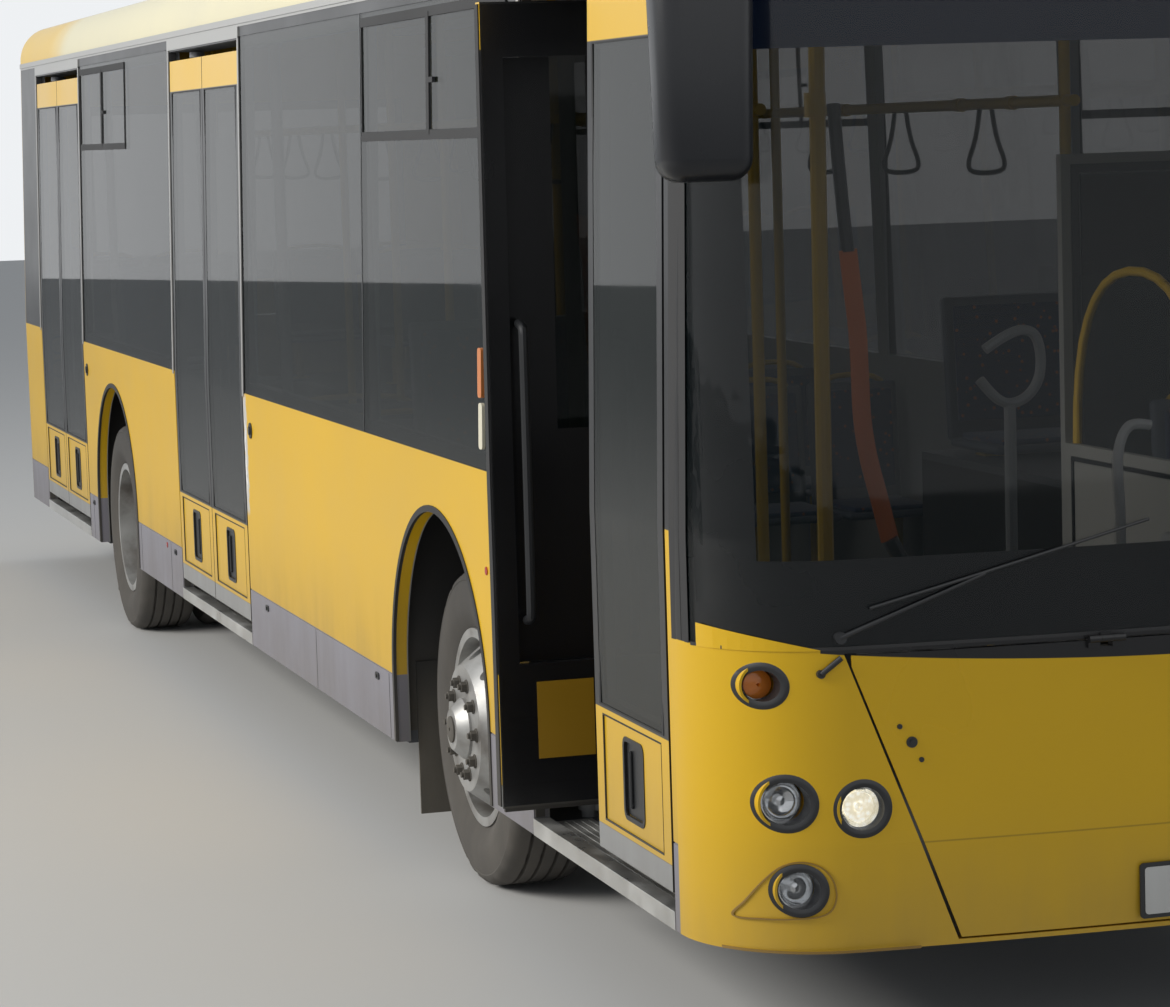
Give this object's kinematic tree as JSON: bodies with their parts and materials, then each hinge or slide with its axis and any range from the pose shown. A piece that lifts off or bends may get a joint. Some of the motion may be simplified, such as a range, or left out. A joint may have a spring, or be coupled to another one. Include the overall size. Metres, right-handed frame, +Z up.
{
  "type": "city bus",
  "caption": "Low-floor city bus with doors on the kerb side, steered front wheels, twin rear wheels, a hinged front hatch and a hinged engine lid.",
  "frame": {"origin": "on the ground under the middle of the bus", "axes": "+X forward, +Y to the driver's left, +Z up"},
  "size_m": [12, 2.8, 2.9499],
  "materials": {
    "axle_iron": "painted",
    "black_plastic": "fine grain",
    "body_yellow": "gloss",
    "cream_paint": "gloss",
    "door_gear": "satin",
    "door_paint": "satin",
    "engine_iron": "painted",
    "flap_rubber": "matt",
    "handrail_paint": "gloss",
    "interior_plastic": "grained",
    "lamp_lens": "clear",
    "seat_plastic": "moulded",
    "tinted_glass": "smooth",
    "tyre": "matt",
    "underframe_paint": "matt",
    "wheel_steel": "satin"
  },
  "bodies": {
    "root": {"floor": "underframe_paint", "platform_tops": "underframe_paint", "bench_platform": "underframe_paint", "platform_sides": "underframe_paint", "platform_ends": "underframe_paint", "chassis_frame": "underframe_paint", "tow_eyes": "underframe_paint", "body_side_right": "body_yellow", "cant_rail_right": "body_yellow", "door_sills": "underframe_paint", "body_side_left": "body_yellow", "roof": "cream_paint", "front_mask": "body_yellow", "windscreen": "tinted_glass", "rear_wall": "body_yellow", "rear_window": "tinted_glass", "side_windows": "tinted_glass", "lamps_front": "lamp_lens", "lamps_rear": "lamp_lens", "mirrors": "black_plastic", "wipers": "black_plastic", "seats": "seat_plastic", "handrails": "handrail_paint", "dashboard": "interior_plastic", "cab_partition": "interior_plastic", "engine_block": "engine_iron", "front_axle": "axle_iron", "rear_axle": "axle_iron", "mud_flaps": "flap_rubber"},
    "front_hatch": {"front_hatch": "body_yellow"},
    "engine_lid": {"engine_lid": "body_yellow"},
    "knuckle_right": {"knuckle_right": "axle_iron"},
    "wheel_front_right": {"rim_front_right": "wheel_steel", "tyre_front_right": "tyre"},
    "wheel_rear_right": {"rim_rear_right": "wheel_steel", "tyres_rear_right": "tyre"},
    "knuckle_left": {"knuckle_left": "axle_iron"},
    "wheel_front_left": {"rim_front_left": "wheel_steel", "tyre_front_left": "tyre"},
    "wheel_rear_left": {"rim_rear_left": "wheel_steel", "tyres_rear_left": "tyre"},
    "door_front_arm_rear": {"door_front_arm_rear": "door_gear"},
    "door_front_leaf_rear": {"door_front_leaf_rear": "door_paint", "door_front_glass_rear": "tinted_glass"},
    "door_front_arm_front": {"door_front_arm_front": "door_gear"},
    "door_front_leaf_front": {"door_front_leaf_front": "door_paint", "door_front_glass_front": "tinted_glass"},
    "door_middle_arm_rear": {"door_middle_arm_rear": "door_gear"},
    "door_middle_leaf_rear": {"door_middle_leaf_rear": "door_paint", "door_middle_glass_rear": "tinted_glass"},
    "door_middle_arm_front": {"door_middle_arm_front": "door_gear"},
    "door_middle_leaf_front": {"door_middle_leaf_front": "door_paint", "door_middle_glass_front": "tinted_glass"},
    "door_rear_arm_rear": {"door_rear_arm_rear": "door_gear"},
    "door_rear_leaf_rear": {"door_rear_leaf_rear": "door_paint", "door_rear_glass_rear": "tinted_glass"},
    "door_rear_arm_front": {"door_rear_arm_front": "door_gear"},
    "door_rear_leaf_front": {"door_rear_leaf_front": "door_paint", "door_rear_glass_front": "tinted_glass"}
  },
  "joints": [
    {"name": "front_hatch_hinge", "type": "hinge", "parent": "root", "child": "front_hatch", "pos_m": [5.988, 0, 1.048], "axis": [0, -1, 0], "range_deg": [0, 80]},
    {"name": "engine_lid_hinge", "type": "hinge", "parent": "root", "child": "engine_lid", "pos_m": [-5.991, 0, 1.3], "axis": [0, 1, 0], "range_deg": [0, 80]},
    {"name": "steer_right", "type": "hinge", "parent": "root", "child": "knuckle_right", "pos_m": [3.275, -0.927, 0.479], "axis": [0, 0, 1], "range_deg": [-40, 40]},
    {"name": "wheel_front_right_spin", "type": "hinge", "parent": "knuckle_right", "child": "wheel_front_right", "pos_m": [3.275, -1.042, 0.479], "axis": [0, 1, 0], "continuous": true},
    {"name": "wheel_rear_right_spin", "type": "hinge", "parent": "root", "child": "wheel_rear_right", "pos_m": [-2.865, -0.954, 0.479], "axis": [0, 1, 0], "continuous": true},
    {"name": "steer_left", "type": "hinge", "parent": "root", "child": "knuckle_left", "pos_m": [3.275, 0.927, 0.479], "axis": [0, 0, 1], "range_deg": [-40, 40]},
    {"name": "wheel_front_left_spin", "type": "hinge", "parent": "knuckle_left", "child": "wheel_front_left", "pos_m": [3.275, 1.042, 0.479], "axis": [0, 1, 0], "continuous": true},
    {"name": "wheel_rear_left_spin", "type": "hinge", "parent": "root", "child": "wheel_rear_left", "pos_m": [-2.865, 0.954, 0.479], "axis": [0, 1, 0], "continuous": true},
    {"name": "door_front_rear_swing", "type": "hinge", "parent": "root", "child": "door_front_arm_rear", "pos_m": [4.255, -1.10403, 1.5], "axis": [0, 0, 1], "range_deg": [-59.58, 0]},
    {"name": "door_front_rear_turn", "type": "hinge", "parent": "door_front_arm_rear", "child": "door_front_leaf_rear", "pos_m": [4.422, -0.94, 1.5], "axis": [0, 0, 1], "range_deg": [0, 149.59]},
    {"name": "door_front_front_swing", "type": "hinge", "parent": "root", "child": "door_front_arm_front", "pos_m": [5.587, -1.10403, 1.5], "axis": [0, 0, 1], "range_deg": [-59.58, 0]},
    {"name": "door_front_front_turn", "type": "hinge", "parent": "door_front_arm_front", "child": "door_front_leaf_front", "pos_m": [5.361, -1.165, 1.5], "axis": [0, 0, 1], "range_deg": [0, 149.59]},
    {"name": "door_middle_rear_swing", "type": "hinge", "parent": "root", "child": "door_middle_arm_rear", "pos_m": [-1.195, -1.10968, 1.5], "axis": [0, 0, 1], "range_deg": [0, 65.97]},
    {"name": "door_middle_rear_turn", "type": "hinge", "parent": "door_middle_arm_rear", "child": "door_middle_leaf_rear", "pos_m": [-0.909, -1.165, 1.5], "axis": [0, 0, 1], "range_deg": [-155.98, 0]},
    {"name": "door_middle_front_swing", "type": "hinge", "parent": "root", "child": "door_middle_arm_front", "pos_m": [0.395, -1.10968, 1.5], "axis": [0, 0, 1], "range_deg": [-65.97, 0]},
    {"name": "door_middle_front_turn", "type": "hinge", "parent": "door_middle_arm_front", "child": "door_middle_leaf_front", "pos_m": [0.109, -1.165, 1.5], "axis": [0, 0, 1], "range_deg": [0, 155.98]},
    {"name": "door_rear_rear_swing", "type": "hinge", "parent": "root", "child": "door_rear_arm_rear", "pos_m": [-5.285, -1.10968, 1.5], "axis": [0, 0, 1], "range_deg": [0, 65.97]},
    {"name": "door_rear_rear_turn", "type": "hinge", "parent": "door_rear_arm_rear", "child": "door_rear_leaf_rear", "pos_m": [-4.999, -1.165, 1.5], "axis": [0, 0, 1], "range_deg": [-155.98, 0]},
    {"name": "door_rear_front_swing", "type": "hinge", "parent": "root", "child": "door_rear_arm_front", "pos_m": [-3.695, -1.10968, 1.5], "axis": [0, 0, 1], "range_deg": [-65.97, 0]},
    {"name": "door_rear_front_turn", "type": "hinge", "parent": "door_rear_arm_front", "child": "door_rear_leaf_front", "pos_m": [-3.981, -1.165, 1.5], "axis": [0, 0, 1], "range_deg": [0, 155.98]}
  ],
  "couplings": [
    {"joint": "steer_left", "follows": "steer_right", "ratio": 1},
    {"joint": "door_front_rear_turn", "follows": "door_front_rear_swing", "ratio": -2.5105},
    {"joint": "door_front_front_turn", "follows": "door_front_front_swing", "ratio": -2.5105},
    {"joint": "door_middle_rear_turn", "follows": "door_middle_rear_swing", "ratio": -2.3643},
    {"joint": "door_middle_front_swing", "follows": "door_middle_rear_swing", "ratio": -1},
    {"joint": "door_middle_front_turn", "follows": "door_middle_rear_swing", "ratio": 2.3643},
    {"joint": "door_rear_rear_turn", "follows": "door_rear_rear_swing", "ratio": -2.3643},
    {"joint": "door_rear_front_swing", "follows": "door_rear_rear_swing", "ratio": -1},
    {"joint": "door_rear_front_turn", "follows": "door_rear_rear_swing", "ratio": 2.3643}
  ]
}
